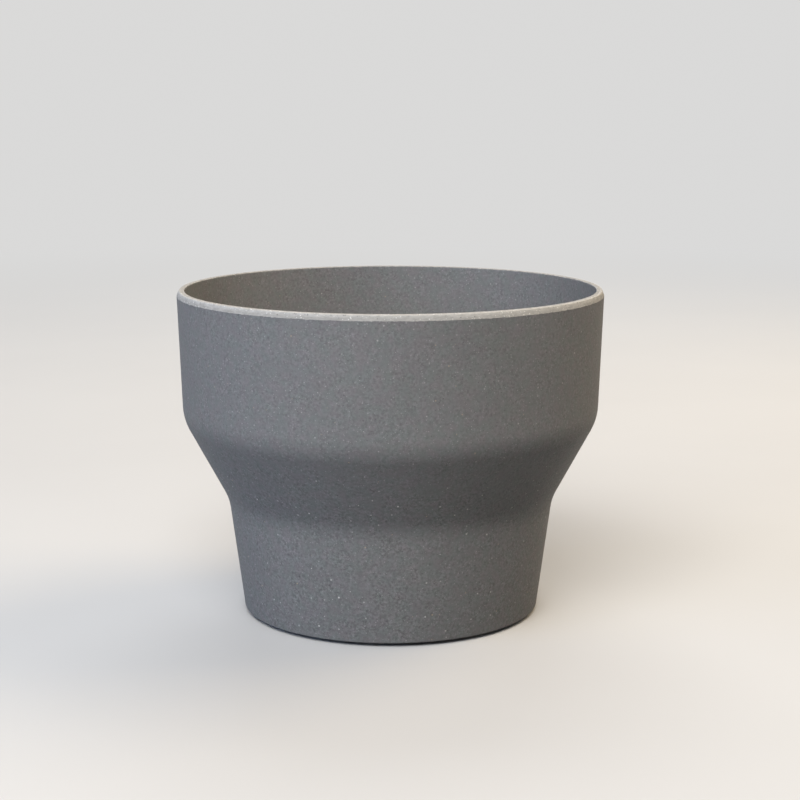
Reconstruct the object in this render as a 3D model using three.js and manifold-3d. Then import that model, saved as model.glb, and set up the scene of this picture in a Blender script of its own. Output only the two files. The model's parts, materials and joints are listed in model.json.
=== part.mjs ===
// Self-watering planter. A one-piece shell of plant-fibre composite holds soil in its wide bowl and
// water in its narrow foot. A removable insert stands between the two: a slotted soil tray, three
// fibre wicks in slotted sleeves, and a filler shaft with a float that shows the water level.
// Units are millimetres, +Z is up, and the origin is the centre of the footprint on the table.

import * as THREE from 'three';
import { mergeVertices } from 'three/addons/utils/BufferGeometryUtils.js';
import Module from 'manifold-3d';

const wasm = await Module();
wasm.setup();

// ---------------------------------------------------------------- driving dimensions

const SMALL_ROUND = 20; // facets round a small turned piece
const ARC_TOLERANCE = 0.08; // furthest a rounded corner's facets stand off its true arc
const GAP = 0.3; // clearance between pieces that sit together
const PAST = 1; // how far a cutting tool runs past the face it opens
const BITE = 0.5; // how far the shapes of one moulding run into each other

// Outer shell: corners of its outer face before rounding
const HEIGHT = 123;
const RIM_RADIUS = 80;
const SHOULDER = { radius: 78.4, height: 75, round: 19 };
const NECK = { radius: 61.8, height: 44, round: 23 };
const FOOT_RADIUS = 56.2;
const SHELL_WALL = 3;
const SHELL_ROUND = 64; // facets round the shell
const RIM_BAND = 2.2; // height of the sanded band round the rim
const RIM_TOP = { inset: 0.8, outerRound: 0.5, innerRound: 0.6 };
const FLOOR_TOP = 5;
const FOOT_EDGE_ROUND = 0.7;
const PAD_HEIGHT = 1.3; // the shell's underside stands this far off the table
const UNDERSIDE_RECESS = { radius: 36, depth: 1.1 };
const FLOOR_CORNER_ROUND = 5;

// Feet and drain
const PAD = { radius: 5.5, offset: 47, count: 4 };
const DRAIN_RADIUS = 6.8;

// Soil tray, seated on the shell's cone
const TRAY_TOP = 50;
const TRAY_PLATE = 2;
const TRAY_LIP_TOP = 57;
const TRAY_LIP_WALL = 1.8;
const TRAY_SEAT_GAP = 0.35; // level clearance to the cone it sits on
const TRAY_RIB = { count: 8, thick: 1.4, depth: 5, outer: 55 };
const TRAY_SLOT_WIDTH = 1.8;
const TRAY_SLOT_RINGS = [
  { inner: 9, outer: 20, count: 16, clearOfShaft: 0 },
  { inner: 46, outer: 56, count: 32, clearOfShaft: 0.52 },
];
const COLLAR_WALL = 1.6;
const COLLAR_DEPTH = 6; // below the tray's top

// Wicks and their sleeves, at three of the tray's four quarters
const WICK_OFFSET = 36;
const WICK_ANGLES = [0, Math.PI / 2, Math.PI];
const WICK = { radius: 4.7, bottom: 9.3, top: 62, chamfer: 0.6 };
const SLEEVE = { radius: 7, bore: 5, bottom: 7, base: 2, drip: 2, flange: 9.5, flangeThick: 1.5 };
const SLEEVE_WINDOW = { width: 3.2, bottom: 12, top: 40 };

// Filler shaft, at the fourth quarter: one half takes water, the other holds the float
const SHAFT_OFFSET = 42;
const SHAFT = { length: 32, width: 18, wall: 1.5, bottom: 8, top: 95.7, partition: 1.2 };
const SHAFT_STOP = { bottom: 60.3, thick: 1.8, reach: 2 };
const SHAFT_INLET = { width: 3, bottom: 14, top: 26, places: [-10, -5, 5, 10] };
const SHAFT_FOOT = { bottom: 6.2, skirtTop: 9.7, skirtWall: 1.2 };
const FOOT_SLOT = { length: 12, width: 2, places: [-9.2, -4.6, 0, 4.6, 9.2] };
const CAP = { top: 98, plate: 2, skirtBottom: 90, wall: 1.4 };
const FLOAT_X = -7.5; // from the shaft's centre

// Flap over the filler hole
const PIN = { x: 17.9, height: 100.7, radius: 0.8, length: 14 };
const FLAP = { bottom: 98.4, thick: 1.6, left: 0.9, right: 14.6, width: 15.4, corner: 3, endCorner: 6 };
const KNUCKLE = { radius: 1.9, length: 8 };
const EAR = { radius: 2.2, thick: 1.8, gap: 0.5 };
const FLAP_GRIP = { depth: 1.4, width: 7, height: 1.1 };

// Float, its stem and the level flag
const STEM = { radius: 1.2, bottom: 8.3, top: 102.4 };
const STEM_COLLAR = { radius: 3, thick: 1.3 };
const GUIDE_GAP = 0.4; // round the stem where it passes the cap
const FLOAT = { radius: 6.2, bottom: 9.9, height: 17, chamfer: 1.2 };
const GUIDE_BOSS = { radius: 3.6, height: 1.1 };
const FLAG = { radius: 4, bottom: 99.4, height: 5, round: 2.4 };

// Drain plug, pushed in from the inside
const PLUG = { headRadius: 11, headThick: 2.6, shankRadius: 6.5, tipRadius: 6.2, bottom: 2.1 };
const PLUG_GRIP = { radius: 3.2, bulb: 4.4, neckHeight: 2.3, bulbHeight: 5.4, height: 8.5 };
const PLUG_ROUND = 1;

// ---------------------------------------------------------------- materials

const plastic = (color, roughness = 0.6) =>
  new THREE.MeshStandardMaterial({ color, roughness, metalness: 0 });

const composite = plastic(0x6f7073, 0.85);
const insertPlastic = plastic(0x26282a, 0.55);
const wickFelt = plastic(0xd9d4c6, 1);
const foam = plastic(0xe8e6df, 0.9);
const stemPlastic = plastic(0xf0efea, 0.4);
const flagPlastic = plastic(0xb8291f, 0.4);
const rubber = plastic(0x1c1c1d, 0.8);
const pinSteel = new THREE.MeshStandardMaterial({ color: 0xb9bbbd, roughness: 0.3, metalness: 1 });

// ---------------------------------------------------------------- shape helpers

// A geometry as a solid that can be joined and cut.
function solidOf(geometry) {
  const bare = geometry.clone();
  bare.deleteAttribute('normal');
  bare.deleteAttribute('uv');
  const merged = mergeVertices(bare);
  return new wasm.Manifold(
    new wasm.Mesh({
      numProp: 3,
      vertProperties: merged.attributes.position.array,
      triVerts: new Uint32Array(merged.index.array),
    }),
  );
}

// A solid as a geometry that a mesh can show.
function geometryOf(solid) {
  const { vertProperties, triVerts } = solid.getMesh();
  const geometry = new THREE.BufferGeometry();
  geometry.setAttribute('position', new THREE.BufferAttribute(vertProperties, 3));
  geometry.setIndex(new THREE.BufferAttribute(triVerts, 1));
  geometry.computeVertexNormals();
  return geometry;
}

// Corners [x, y, rounding radius] as a line of points, each rounded corner an arc.
function rounded(corners) {
  const points = [];
  corners.forEach(([x, y, radius = 0], i) => {
    const corner = new THREE.Vector2(x, y);
    if (!radius) {
      points.push(corner);
      return;
    }
    const [before, after] = [corners.at(i - 1), corners[(i + 1) % corners.length]];
    const back = new THREE.Vector2(before[0], before[1]).sub(corner).normalize();
    const ahead = new THREE.Vector2(after[0], after[1]).sub(corner).normalize();
    const half = Math.acos(THREE.MathUtils.clamp(back.dot(ahead), -1, 1)) / 2;
    const middle = back.clone().add(ahead).normalize();
    const centre = corner.clone().addScaledVector(middle, radius / Math.sin(half));
    const start = corner.clone().addScaledVector(back, radius / Math.tan(half)).sub(centre);
    const turn = (Math.PI - 2 * half) * Math.sign(ahead.cross(back));
    const step = 2 * Math.acos(1 - Math.min(ARC_TOLERANCE / radius, 1));
    const steps = Math.max(2, Math.ceil(Math.abs(turn) / step));
    for (let k = 0; k <= steps; k++) {
      points.push(start.clone().rotateAround(new THREE.Vector2(), (turn * k) / steps).add(centre));
    }
  });
  return points;
}

// The same open line of corners, moved sideways to its left by a distance.
function offsetLine(corners, distance) {
  const edges = corners.slice(1).map(([x, y], i) => {
    const from = new THREE.Vector2(corners[i][0], corners[i][1]);
    const along = new THREE.Vector2(x, y).sub(from).normalize();
    return { along, from: from.addScaledVector(new THREE.Vector2(-along.y, along.x), distance) };
  });
  return corners.map(([x, y, radius = 0], i) => {
    const [a, b] = [edges[i - 1], edges[i]];
    if (!a || !b) {
      const edge = a ?? b;
      const share = new THREE.Vector2(x, y).sub(edge.from).dot(edge.along);
      return [...edge.from.clone().addScaledVector(edge.along, share).toArray(), radius];
    }
    const reach = b.from.clone().sub(a.from).cross(b.along) / a.along.cross(b.along);
    const bend = Math.sign(a.along.cross(b.along)); // a left bend tightens as it moves left
    return [...a.from.clone().addScaledVector(a.along, reach).toArray(), radius - bend * distance];
  });
}

// A closed profile of points (radius, height), turned about Z. It runs outwards along its underside.
function revolve(profile, segments = SMALL_ROUND) {
  const closes = profile[0].x > 0 ? [...profile, profile[0].clone()] : profile;
  return new THREE.LatheGeometry(closes, segments).rotateX(Math.PI / 2);
}

// A profile given as [radius, height] or [radius, height, rounding radius] corners, turned about Z.
const turned = (corners, segments) => revolve(rounded(corners), segments);

// A disc or post: a plain cylinder on the Z axis.
const post = (radius, bottom, top, segments) =>
  turned([[0, bottom], [radius, bottom], [radius, top], [0, top]], segments);

// A flat outline raised from one height to another.
const prism = (shape, bottom, top, curveSegments = 8) =>
  new THREE.ExtrudeGeometry(shape, { depth: top - bottom, bevelEnabled: false, curveSegments })
    .translate(0, 0, bottom);

// A slot shape with round ends, its length along X.
function stadium(length, width) {
  const radius = width / 2;
  const reach = length / 2 - radius;
  const shape = new THREE.Shape();
  shape.absarc(reach, 0, radius, -Math.PI / 2, Math.PI / 2);
  shape.absarc(-reach, 0, radius, Math.PI / 2, (3 * Math.PI) / 2);
  return shape;
}

// The shaft's outline grown (or, with a negative number, shrunk) all round.
const shaftOutline = (grow) => stadium(SHAFT.length + 2 * grow, SHAFT.width + 2 * grow);

// A box by its lowest and highest corners.
function block([x0, y0, z0], [x1, y1, z1]) {
  const box = new THREE.BoxGeometry(x1 - x0, y1 - y0, z1 - z0);
  return box.translate((x0 + x1) / 2, (y0 + y1) / 2, (z0 + z1) / 2);
}

const join = (geometries) => geometries.map(solidOf).reduce((a, b) => a.add(b));
const cut = (solid, geometries) => geometries.reduce((left, g) => left.subtract(solidOf(g)), solid);

function piece(name, shape, material) {
  const mesh = new THREE.Mesh(shape.isBufferGeometry ? shape : geometryOf(shape), material);
  mesh.name = name;
  return mesh;
}

// ---------------------------------------------------------------- outer shell

// The outer face from the table edge to the rim, and the inner face one wall inside it.
const outerFace = [
  [FOOT_RADIUS, PAD_HEIGHT],
  [NECK.radius, NECK.height, NECK.round],
  [SHOULDER.radius, SHOULDER.height, SHOULDER.round],
  [RIM_RADIUS, HEIGHT - RIM_BAND],
];
const innerFace = offsetLine(outerFace, SHELL_WALL);

// Radius of the shell's inner cone at a height between neck and shoulder.
function innerConeRadius(height) {
  const [, [r0, z0], [r1, z1]] = innerFace;
  return r0 + ((r1 - r0) * (height - z0)) / (z1 - z0);
}

// Radius where the shell's inner foot wall, carried on down, meets a height.
function innerFootRadius(height) {
  const [[r0, z0], [r1, z1]] = innerFace;
  return r0 + ((r1 - r0) * (height - z0)) / (z1 - z0);
}

function outerPot() {
  const [, innerNeck, innerShoulder, innerRim] = innerFace;
  const { radius: recess, depth } = UNDERSIDE_RECESS;
  const profile = rounded([
    [DRAIN_RADIUS, PAD_HEIGHT + depth],
    [recess - depth, PAD_HEIGHT + depth],
    [recess, PAD_HEIGHT],
    [FOOT_RADIUS, PAD_HEIGHT, FOOT_EDGE_ROUND],
    ...outerFace.slice(1),
    [RIM_RADIUS - RIM_TOP.inset, HEIGHT, RIM_TOP.outerRound],
    [innerRim[0], HEIGHT, RIM_TOP.innerRound],
    innerShoulder,
    innerNeck,
    [innerFootRadius(FLOOR_TOP), FLOOR_TOP, FLOOR_CORNER_ROUND],
    [DRAIN_RADIUS, FLOOR_TOP],
  ]);
  return piece('outer_pot', revolve(profile, SHELL_ROUND), composite);
}

function footPads() {
  return Array.from({ length: PAD.count }, (_, i) => {
    const angle = (2 * Math.PI * (i + 0.5)) / PAD.count;
    const pad = piece(`foot_pad_${i + 1}`, post(PAD.radius, 0, PAD_HEIGHT), rubber);
    pad.position.set(PAD.offset * Math.cos(angle), PAD.offset * Math.sin(angle), 0);
    return pad;
  });
}

function drainPlug() {
  const seat = FLOOR_TOP + GAP;
  const head = seat + PLUG.headThick;
  return piece(
    'drain_plug',
    turned([
      [0, PLUG.bottom],
      [PLUG.tipRadius, PLUG.bottom],
      [PLUG.shankRadius, seat],
      [PLUG.headRadius, seat],
      [PLUG.headRadius, head, PLUG_ROUND],
      [PLUG_GRIP.radius, head],
      [PLUG_GRIP.radius, head + PLUG_GRIP.neckHeight],
      [PLUG_GRIP.bulb, head + PLUG_GRIP.bulbHeight, PLUG_ROUND],
      [PLUG_GRIP.radius, head + PLUG_GRIP.height],
      [0, head + PLUG_GRIP.height],
    ]),
    rubber,
  );
}

// ---------------------------------------------------------------- soil tray

const wickPlace = (angle) => [WICK_OFFSET * Math.cos(angle), WICK_OFFSET * Math.sin(angle)];

// Radial slots for drainage and air, left out where the shaft's collar stands.
function traySlots() {
  const shaftAngle = (3 * Math.PI) / 2;
  return TRAY_SLOT_RINGS.flatMap(({ inner, outer, count, clearOfShaft }) => {
    const slot = stadium(outer - inner, TRAY_SLOT_WIDTH);
    return Array.from({ length: count }, (_, i) => (2 * Math.PI * (i + 0.5)) / count)
      .filter((angle) => !clearOfShaft || Math.abs(angle - shaftAngle) > clearOfShaft)
      .map((angle) =>
        prism(slot, TRAY_TOP - TRAY_PLATE - PAST, TRAY_TOP + PAST, 3)
          .translate((inner + outer) / 2, 0, 0)
          .rotateZ(angle),
      );
  });
}

function soilTray() {
  const underside = TRAY_TOP - TRAY_PLATE;
  const seat = (height) => innerConeRadius(height) - TRAY_SEAT_GAP;
  const plate = turned(
    [
      [0, underside],
      [seat(underside), underside],
      [seat(TRAY_LIP_TOP), TRAY_LIP_TOP],
      [seat(TRAY_LIP_TOP) - TRAY_LIP_WALL, TRAY_LIP_TOP],
      [seat(TRAY_TOP) - TRAY_LIP_WALL, TRAY_TOP],
      [0, TRAY_TOP],
    ],
    SHELL_ROUND,
  );
  const ribs = Array.from({ length: TRAY_RIB.count / 2 }, (_, i) =>
    block(
      [-TRAY_RIB.outer, -TRAY_RIB.thick / 2, underside - TRAY_RIB.depth],
      [TRAY_RIB.outer, TRAY_RIB.thick / 2, underside + BITE],
    ).rotateZ((2 * Math.PI * (i + 0.5)) / TRAY_RIB.count),
  );
  const wickHole = SLEEVE.radius + GAP;
  const wickCollars = WICK_ANGLES.map((angle) =>
    post(wickHole + COLLAR_WALL, TRAY_TOP - COLLAR_DEPTH, TRAY_TOP - BITE)
      .translate(...wickPlace(angle), 0),
  );
  const shaftCollar = prism(
    shaftOutline(GAP + COLLAR_WALL),
    TRAY_TOP - COLLAR_DEPTH,
    SHAFT_STOP.bottom - GAP,
  ).translate(0, -SHAFT_OFFSET, 0);
  const below = underside - TRAY_RIB.depth - PAST;
  const holes = WICK_ANGLES.map((angle) =>
    post(wickHole, below, TRAY_TOP + PAST).translate(...wickPlace(angle), 0),
  );
  const shaftHole = prism(shaftOutline(GAP), below, SHAFT_STOP.bottom + PAST)
    .translate(0, -SHAFT_OFFSET, 0);
  const body = join([plate, ...ribs, ...wickCollars, shaftCollar]);
  return piece('soil_tray', cut(body, [...traySlots(), ...holes, shaftHole]), insertPlastic);
}

// ---------------------------------------------------------------- wicks

function wickSleeve(number, angle) {
  const flange = TRAY_TOP + GAP;
  const tube = turned([
    [SLEEVE.drip, SLEEVE.bottom],
    [SLEEVE.radius, SLEEVE.bottom],
    [SLEEVE.radius, flange],
    [SLEEVE.flange, flange],
    [SLEEVE.flange, flange + SLEEVE.flangeThick],
    [SLEEVE.bore, flange + SLEEVE.flangeThick],
    [SLEEVE.bore, SLEEVE.bottom + SLEEVE.base],
    [SLEEVE.drip, SLEEVE.bottom + SLEEVE.base],
  ]);
  const [reach, half] = [SLEEVE.radius + PAST, SLEEVE_WINDOW.width / 2];
  const window = block([-reach, -half, SLEEVE_WINDOW.bottom], [reach, half, SLEEVE_WINDOW.top]);
  const windows = [window, window.clone().rotateZ(Math.PI / 2)];
  const sleeve = piece(`wick_sleeve_${number}`, cut(solidOf(tube), windows), insertPlastic);
  sleeve.position.set(...wickPlace(angle), 0);
  sleeve.rotation.z = angle + Math.PI / 4;
  return sleeve;
}

function wick(number, angle) {
  const { radius, bottom, top, chamfer } = WICK;
  const felt = turned([
    [0, bottom],
    [radius - chamfer, bottom],
    [radius, bottom + chamfer],
    [radius, top - chamfer],
    [radius - chamfer, top],
    [0, top],
  ]);
  const mesh = piece(`wick_${number}`, felt, wickFelt);
  mesh.position.set(...wickPlace(angle), 0);
  return mesh;
}

// ---------------------------------------------------------------- filler shaft
// Built round its own axis; the group that holds it puts it at its place in the tray.

function fillerShaft() {
  const { wall, bottom, top, partition } = SHAFT;
  const tube = join([
    prism(shaftOutline(0), bottom, top),
    prism(shaftOutline(SHAFT_STOP.reach), SHAFT_STOP.bottom, SHAFT_STOP.bottom + SHAFT_STOP.thick),
  ]);
  const web = block(
    [-partition / 2, -SHAFT.width, SHAFT_FOOT.skirtTop],
    [partition / 2, SHAFT.width, top],
  );
  const bore = cut(solidOf(prism(shaftOutline(-wall), bottom - PAST, top + PAST)), [web]);
  const inletHalf = SHAFT_INLET.width / 2;
  const inlets = SHAFT_INLET.places.map((x) =>
    block(
      [x - inletHalf, -SHAFT.width, SHAFT_INLET.bottom],
      [x + inletHalf, SHAFT.width, SHAFT_INLET.top],
    ),
  );
  return piece('filler_shaft', cut(tube.subtract(bore), inlets), insertPlastic);
}

function shaftFoot() {
  const { bottom, skirtTop, skirtWall } = SHAFT_FOOT;
  const flangeTop = SHAFT.bottom - GAP;
  const outer = -SHAFT.wall - GAP;
  const body = join([
    prism(shaftOutline(0), bottom, flangeTop),
    prism(shaftOutline(outer), flangeTop - BITE, skirtTop - GAP),
  ]);
  const slots = FOOT_SLOT.places.map((x) =>
    prism(stadium(FOOT_SLOT.length, FOOT_SLOT.width), bottom - PAST, flangeTop + PAST, 3)
      .rotateZ(Math.PI / 2)
      .translate(x, 0, 0),
  );
  const inside = prism(shaftOutline(outer - skirtWall), flangeTop, skirtTop + PAST);
  return piece('shaft_foot', cut(body, [inside, ...slots]), insertPlastic);
}

// A post that lies along Y, round the hinge pin's axis.
const alongPin = (radius, from, to, segments = 16) =>
  post(radius, -to, -from, segments)
    .rotateX(Math.PI / 2)
    .translate(PIN.x, 0, PIN.height);

function shaftCap() {
  const { top, plate, skirtBottom, wall } = CAP;
  const outline = shaftOutline(GAP + wall);
  const earInner = KNUCKLE.length / 2 + EAR.gap;
  const earOuter = earInner + EAR.thick;
  const ears = [-1, 1].flatMap((side) => {
    const [from, to] = [side * earInner, side * earOuter].sort((a, b) => a - b);
    return [
      alongPin(EAR.radius, from, to),
      block([PIN.x - EAR.radius, from, top - plate], [PIN.x + EAR.radius, to, PIN.height]),
    ];
  });
  const bossTop = top + GUIDE_BOSS.height;
  const boss = post(GUIDE_BOSS.radius, top - BITE, bossTop).translate(FLOAT_X, 0, 0);
  const body = join([prism(outline, skirtBottom, top), ...ears, boss]);
  const socket = prism(shaftOutline(GAP), skirtBottom - PAST, top - plate);
  const below = top - plate - PAST;
  const guide = post(STEM.radius + GUIDE_GAP, below, bossTop + PAST).translate(FLOAT_X, 0, 0);
  const mouth = solidOf(prism(shaftOutline(-SHAFT.wall), below, top + PAST)).subtract(
    solidOf(block([-SHAFT.length, -SHAFT.width, 0], [SHAFT.partition / 2, SHAFT.width, 2 * top])),
  );
  const pinHole = alongPin(PIN.radius + GAP, -earOuter - PAST, earOuter + PAST);
  return piece('shaft_cap', cut(body.subtract(mouth), [socket, guide, pinHole]), insertPlastic);
}

function fillFlap() {
  const { bottom, thick, left, right, width, corner, endCorner } = FLAP;
  const half = width / 2;
  const outline = new THREE.Shape(
    rounded([
      [left, -half, corner],
      [right, -half, endCorner],
      [right, half, endCorner],
      [left, half, corner],
    ]),
  );
  const arm = block(
    [right - BITE, -KNUCKLE.length / 2, bottom],
    [PIN.x, KNUCKLE.length / 2, bottom + thick],
  );
  const grip = block(
    [left, -FLAP_GRIP.width / 2, bottom + thick - BITE],
    [left + FLAP_GRIP.depth, FLAP_GRIP.width / 2, bottom + thick + FLAP_GRIP.height],
  );
  const knuckle = alongPin(KNUCKLE.radius, -KNUCKLE.length / 2, KNUCKLE.length / 2);
  const body = join([prism(outline, bottom, bottom + thick), arm, grip, knuckle]);
  const pinHole = alongPin(PIN.radius + GAP, -KNUCKLE.length, KNUCKLE.length);
  return piece('fill_flap', cut(body, [pinHole]), insertPlastic);
}

const flapPin = () =>
  piece('flap_pin', alongPin(PIN.radius, -PIN.length / 2, PIN.length / 2), pinSteel);

// ---------------------------------------------------------------- float and level flag

function float() {
  const { radius, bottom, height, chamfer } = FLOAT;
  const bore = STEM.radius + GAP;
  const top = bottom + height;
  const ring = turned([
    [bore, bottom],
    [radius, bottom, chamfer],
    [radius, top, chamfer],
    [bore, top],
  ]);
  const mesh = piece('float', ring, foam);
  mesh.position.x = FLOAT_X;
  return mesh;
}

function floatStem() {
  const collar = FLOAT.bottom + FLOAT.height + GAP;
  const foot = STEM.bottom + STEM_COLLAR.thick;
  const rod = turned(
    [
      [0, STEM.bottom],
      [STEM_COLLAR.radius, STEM.bottom],
      [STEM_COLLAR.radius, foot],
      [STEM.radius, foot],
      [STEM.radius, collar],
      [STEM_COLLAR.radius, collar],
      [STEM_COLLAR.radius, collar + STEM_COLLAR.thick],
      [STEM.radius, collar + STEM_COLLAR.thick],
      [STEM.radius, STEM.top],
      [0, STEM.top],
    ],
    16,
  );
  const mesh = piece('float_stem', rod, stemPlastic);
  mesh.position.x = FLOAT_X;
  return mesh;
}

function levelFlag() {
  const { radius, bottom, height, round } = FLAG;
  const bore = STEM.radius + GAP;
  const button = turned([
    [bore, bottom],
    [radius, bottom, 0.5],
    [radius, bottom + height, round],
    [0, bottom + height],
    [0, STEM.top + GAP],
    [bore, STEM.top + GAP],
  ]);
  const mesh = piece('level_flag', button, flagPlastic);
  mesh.position.x = FLOAT_X;
  return mesh;
}

// ---------------------------------------------------------------- assembly

const fillerUnit = new THREE.Group();
fillerUnit.position.y = -SHAFT_OFFSET;
fillerUnit.add(
  fillerShaft(),
  shaftFoot(),
  shaftCap(),
  fillFlap(),
  flapPin(),
  float(),
  floatStem(),
  levelFlag(),
);

const insert = new THREE.Group();
insert.add(soilTray(), fillerUnit);
WICK_ANGLES.forEach((angle, i) => {
  insert.add(wickSleeve(i + 1, angle), wick(i + 1, angle));
});

const planter = new THREE.Group();
planter.add(outerPot(), ...footPads(), drainPlug(), insert);

export default planter;
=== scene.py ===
"""The looks of the self-watering planter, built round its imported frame.

Shapes are worked out in millimetres, +Z up, and turned into metres as each mesh is made. The front
of the pot faces -Y, and it stands on z = 0.
"""

import json
import math
from types import SimpleNamespace

import bmesh
import bpy
from mathutils import Matrix, Vector, noise

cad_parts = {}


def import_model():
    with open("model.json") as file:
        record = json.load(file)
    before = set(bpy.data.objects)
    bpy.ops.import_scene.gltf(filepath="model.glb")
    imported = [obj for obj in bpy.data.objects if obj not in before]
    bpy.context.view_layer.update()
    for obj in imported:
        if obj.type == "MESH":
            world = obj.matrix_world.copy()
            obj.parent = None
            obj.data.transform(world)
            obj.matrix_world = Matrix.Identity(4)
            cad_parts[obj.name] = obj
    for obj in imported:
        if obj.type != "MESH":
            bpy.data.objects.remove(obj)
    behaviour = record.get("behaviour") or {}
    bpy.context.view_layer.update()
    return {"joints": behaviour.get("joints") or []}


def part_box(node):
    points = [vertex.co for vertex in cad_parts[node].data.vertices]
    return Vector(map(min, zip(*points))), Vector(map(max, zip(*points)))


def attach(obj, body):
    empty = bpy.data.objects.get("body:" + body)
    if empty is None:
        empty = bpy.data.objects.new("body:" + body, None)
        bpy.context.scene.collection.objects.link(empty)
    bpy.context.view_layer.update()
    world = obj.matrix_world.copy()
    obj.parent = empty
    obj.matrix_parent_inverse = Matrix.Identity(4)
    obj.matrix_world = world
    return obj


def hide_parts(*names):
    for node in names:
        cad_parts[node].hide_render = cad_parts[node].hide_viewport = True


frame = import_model()

MM = 0.001
FINE_TURN = 256  # facets round the shell
SMALL_TURN = 72  # facets round a small turned piece
BAR_TURN = 48  # facets round a pin or rod
ARC_STEP = math.radians(5)  # largest turn between two points of a rounded corner
FINE_STEP = math.radians(3)  # the same on the shell
SHARP_EDGE = math.radians(40)  # an edge that turns by more than this is bevelled
SMOOTH_EDGE = math.radians(35)  # an edge that turns by less than this is shaded smooth
FELT_EDGE = math.radians(60)  # the same on felt, whose surface is uneven
GAP = 0.3  # clearance between pieces that sit together, as in the frame


# ------------------------------------------------------------------ the frame's sizes


def cad(node):
    """A CAD node's box in millimetres: lowest and highest corner, middle and size."""
    low, high = (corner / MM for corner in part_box(node))
    return SimpleNamespace(low=low, high=high, mid=(low + high) / 2, size=high - low)


pot = cad("outer_pot")
tray = cad("soil_tray")
shaft = cad("filler_shaft")

SHELL_WALL = 3
RIM_BAND = 2.2  # height of the sanded band outside the rim
RIM_BEVEL = 0.45  # height of the bevel inside the rim
RIM_INSET = 0.8  # from the shell's widest radius to the rim's top
FLOOR_TOP = 5
DRAIN_RADIUS = 6.8
RECESS = SimpleNamespace(radius=36, depth=1.1)  # in the underside
GRAIN_STRONG_BELOW, GRAIN_SOFT_ABOVE = 48, 78  # heights between which the grain's contrast and the pale flecks turn from strong to soft

# Corners of the shell's outer face before rounding, as (radius, height, rounding radius)
OUTER_FACE = [
    (56.2, pot.low.z, 0),
    (61.8, 44, 23),
    (78.4, 75, 19),
    (pot.high.x, pot.high.z - RIM_BAND, 0),
]


# ------------------------------------------------------------------ outlines


def rounded(corners, step=ARC_STEP):
    """A closed line of corners (x, y) or (x, y, radius) as points, each rounded corner an arc."""
    points = []
    for i, corner in enumerate(corners):
        here = Vector(corner[:2])
        radius = corner[2] if len(corner) > 2 else 0
        if not radius:
            points.append(here)
            continue
        back = (Vector(corners[i - 1][:2]) - here).normalized()
        ahead = (Vector(corners[(i + 1) % len(corners)][:2]) - here).normalized()
        half = back.angle(ahead) / 2
        centre = here + (back + ahead).normalized() * radius / math.sin(half)
        start = here + back * radius / math.tan(half) - centre
        turn = math.copysign(math.pi - 2 * half, ahead.cross(back))
        count = max(2, math.ceil(abs(turn) / step))
        for k in range(count + 1):
            points.append(centre + Matrix.Rotation(turn * k / count, 2) @ start)
    return points


def offset_line(corners, distance):
    """The same open line of corners, moved sideways to its left."""
    edges = []
    for a, b in zip(corners, corners[1:]):
        along = (Vector(b[:2]) - Vector(a[:2])).normalized()
        edges.append((Vector(a[:2]) + Vector((-along.y, along.x)) * distance, along))
    moved = []
    for i, corner in enumerate(corners):
        if 0 < i < len(corners) - 1:
            (start, along), (next_start, next_along) = edges[i - 1], edges[i]
            bend = along.cross(next_along)
            place = start + along * (next_start - start).cross(next_along) / bend
            moved.append((*place, corner[2] - math.copysign(distance, bend)))
        else:
            start, along = edges[min(i, len(edges) - 1)]
            moved.append((*(start + along * (Vector(corner[:2]) - start).dot(along)), 0))
    return moved


def radius_at(line, height):
    """Radius where the first straight stretch of a line of corners meets a height."""
    (r0, z0, _), (r1, z1, _) = line[:2]
    return r0 + (r1 - r0) * (height - z0) / (z1 - z0)


def half_round(reach, radius, steps=24):
    """Half a circle about (reach, 0), on the side away from the origin."""
    turns = [math.pi * (k / steps - 0.5) for k in range(steps + 1)]
    return [Vector((reach + radius * math.cos(t), radius * math.sin(t))) for t in turns]


def stadium(length, width, grow=0.0, steps=24):
    """A slot outline with round ends, its length along X."""
    right = half_round(length / 2 - width / 2, width / 2 + grow, steps)
    return right + [-point for point in right]


# ------------------------------------------------------------------ meshes


def mesh_object(name, points, faces):
    """A closed mesh from points in millimetres, its faces turned outwards."""
    mesh = bpy.data.meshes.new(name)
    mesh.from_pydata([Vector(p) * MM for p in points], [], faces)
    work = bmesh.new()
    work.from_mesh(mesh)
    bmesh.ops.recalc_face_normals(work, faces=work.faces)
    work.to_mesh(mesh)
    work.free()
    obj = bpy.data.objects.new(name, mesh)
    bpy.context.scene.collection.objects.link(obj)
    return obj


def turned(name, corners, turns=SMALL_TURN, at=(0, 0), step=ARC_STEP):
    """Corners of (radius, height) or (radius, height, rounding), turned about an upright axis."""
    line = rounded(corners, step=step)
    points, rings = [], []
    for r, z in line:
        count = turns if r > 1e-6 else 1
        rings.append([len(points) + k for k in range(count)])
        for k in range(count):
            angle = 2 * math.pi * k / turns
            points.append((at[0] + r * math.cos(angle), at[1] + r * math.sin(angle), z))
    faces = []
    for a, b in zip(rings, rings[1:] + rings[:1]):
        if len(a) == 1 and len(b) == 1:
            continue
        for k in range(turns):
            n = (k + 1) % turns
            loop = [a[k % len(a)], a[n % len(a)], b[n % len(b)], b[k % len(b)]]
            faces.append(list(dict.fromkeys(loop)))
    return mesh_object(name, points, faces)


def disc(name, radius, bottom, top, at):
    """A plain upright cylinder, to be joined on or cut out."""
    return turned(name, [(0, bottom), (radius, bottom), (radius, top), (0, top)], at=at)


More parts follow.
